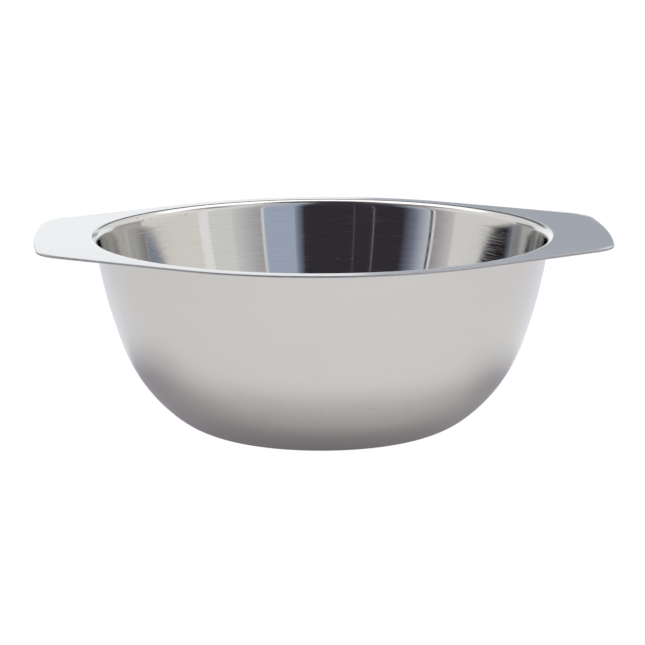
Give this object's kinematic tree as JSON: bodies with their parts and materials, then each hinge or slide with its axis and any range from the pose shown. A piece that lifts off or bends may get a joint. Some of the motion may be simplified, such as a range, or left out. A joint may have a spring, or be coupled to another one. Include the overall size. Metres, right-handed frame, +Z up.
{
  "type": "shaving bowl",
  "caption": "Round deep-drawn metal bowl with a flat base, a rolled-over lip and a flat rim that widens into a grip tab on each side.",
  "frame": {"origin": "centre of the base's underside, on the surface the bowl stands on", "axes": "+Z up out of the bowl's mouth, +X through the two grip tabs, +Y along the rim's shorter width"},
  "size_m": [0.148, 0.1274, 0.051],
  "materials": {
    "steel": "satin outside, finely brushed semi-mirror inside"
  },
  "bodies": {
    "root": {"bowl": "steel"}
  },
  "joints": []
}
